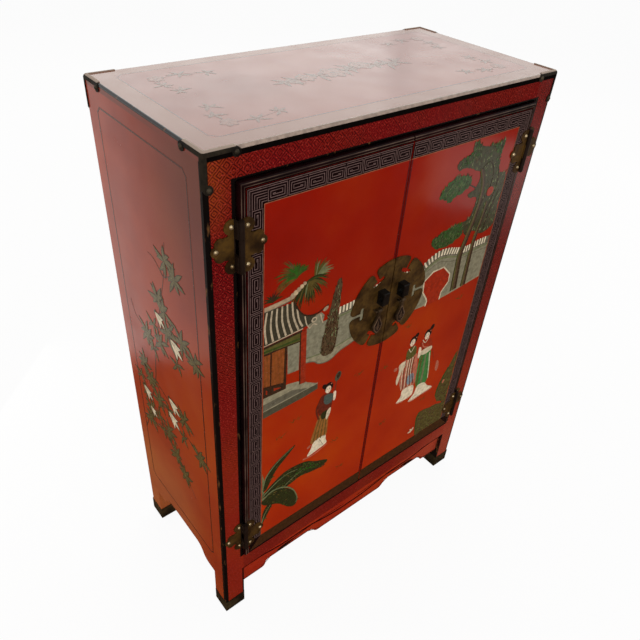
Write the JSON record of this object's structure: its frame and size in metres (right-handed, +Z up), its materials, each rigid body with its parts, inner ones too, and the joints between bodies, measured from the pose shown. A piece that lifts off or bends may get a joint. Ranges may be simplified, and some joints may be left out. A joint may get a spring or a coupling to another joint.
{
  "type": "lacquered two-door cabinet",
  "caption": "Upright red lacquer cabinet with hinged painted doors, butterfly hinges, a round lock plate, drop pulls, shaped apron and metal-shod feet.",
  "frame": {"origin": "middle of the whole object's box, on the floor", "axes": "+Z up; the doors face -Y; +X to the right of someone who looks at the doors"},
  "size_m": [0.617, 0.3082, 0.9013],
  "materials": {
    "red_lacquer": "glossy red lacquer with a fine crackle, black arrises",
    "door_lacquer": "glossy orange-red lacquer with painted figures",
    "dark_lacquer": "glossy maroon-black lacquer",
    "back_lacquer": "plain satin red lacquer",
    "inside_wood": "oiled plain wood",
    "aged_brass": "dull olive patina",
    "dark_bronze": "nearly black patina",
    "foot_brass": "worn patina",
    "nail_brass": "polished by wear"
  },
  "bodies": {
    "carcass": {"top_board": "red_lacquer", "front_left_post": "red_lacquer", "front_right_post": "red_lacquer", "back_left_post": "red_lacquer", "back_right_post": "red_lacquer", "top_rail": "red_lacquer", "bottom_rail": "red_lacquer", "left_side_panel": "red_lacquer", "right_side_panel": "red_lacquer", "front_apron": "red_lacquer", "back_panel": "back_lacquer", "back_top_rail": "back_lacquer", "back_bottom_rail": "back_lacquer", "bottom_board": "inside_wood", "shelf": "inside_wood", "left_shelf_cleat": "inside_wood", "right_shelf_cleat": "inside_wood", "door_stop": "inside_wood", "upper_left_frame_leaf": "aged_brass", "upper_right_frame_leaf": "aged_brass", "lower_left_frame_leaf": "aged_brass", "lower_right_frame_leaf": "aged_brass", "hinge_pins": "aged_brass", "front_left_corner_cap": "dark_bronze", "front_right_corner_cap": "dark_bronze", "back_left_corner_cap": "dark_bronze", "back_right_corner_cap": "dark_bronze", "front_left_foot_cap": "foot_brass", "front_right_foot_cap": "foot_brass", "back_left_foot_cap": "foot_brass", "back_right_foot_cap": "foot_brass", "frame_hinge_nails": "nail_brass", "corner_cap_nails": "nail_brass"},
    "left_door": {"left_door_board": "door_lacquer", "left_door_top_lipping": "dark_lacquer", "left_door_side_lipping": "dark_lacquer", "left_door_bottom_lipping": "dark_lacquer", "upper_left_door_leaf": "aged_brass", "lower_left_door_leaf": "aged_brass", "left_door_nails": "nail_brass", "left_lock_plate": "aged_brass", "left_lock_lug": "dark_bronze", "left_pull_staple": "aged_brass"},
    "right_door": {"right_door_board": "door_lacquer", "right_door_top_lipping": "dark_lacquer", "right_door_side_lipping": "dark_lacquer", "right_door_bottom_lipping": "dark_lacquer", "upper_right_door_leaf": "aged_brass", "lower_right_door_leaf": "aged_brass", "right_door_nails": "nail_brass", "right_lock_plate": "aged_brass", "right_lock_lug": "dark_bronze", "right_pull_staple": "aged_brass"},
    "left_pull": {"left_drop_pull": "aged_brass"},
    "right_pull": {"right_drop_pull": "aged_brass"}
  },
  "joints": [
    {"name": "left_door_hinge", "type": "hinge", "parent": "carcass", "child": "left_door", "pos_m": [-0.26525, -0.14233, 0.503], "axis": [0, 0, -1], "range_deg": [0, 170]},
    {"name": "right_door_hinge", "type": "hinge", "parent": "carcass", "child": "right_door", "pos_m": [0.26525, -0.14233, 0.503], "axis": [0, 0, 1], "range_deg": [0, 170]},
    {"name": "left_pull_swing", "type": "hinge", "parent": "left_door", "child": "left_pull", "pos_m": [-0.025, -0.14663, 0.597], "axis": [-1, 0, 0], "range_deg": [0, 80]},
    {"name": "right_pull_swing", "type": "hinge", "parent": "right_door", "child": "right_pull", "pos_m": [0.025, -0.14663, 0.597], "axis": [-1, 0, 0], "range_deg": [0, 80]}
  ]
}
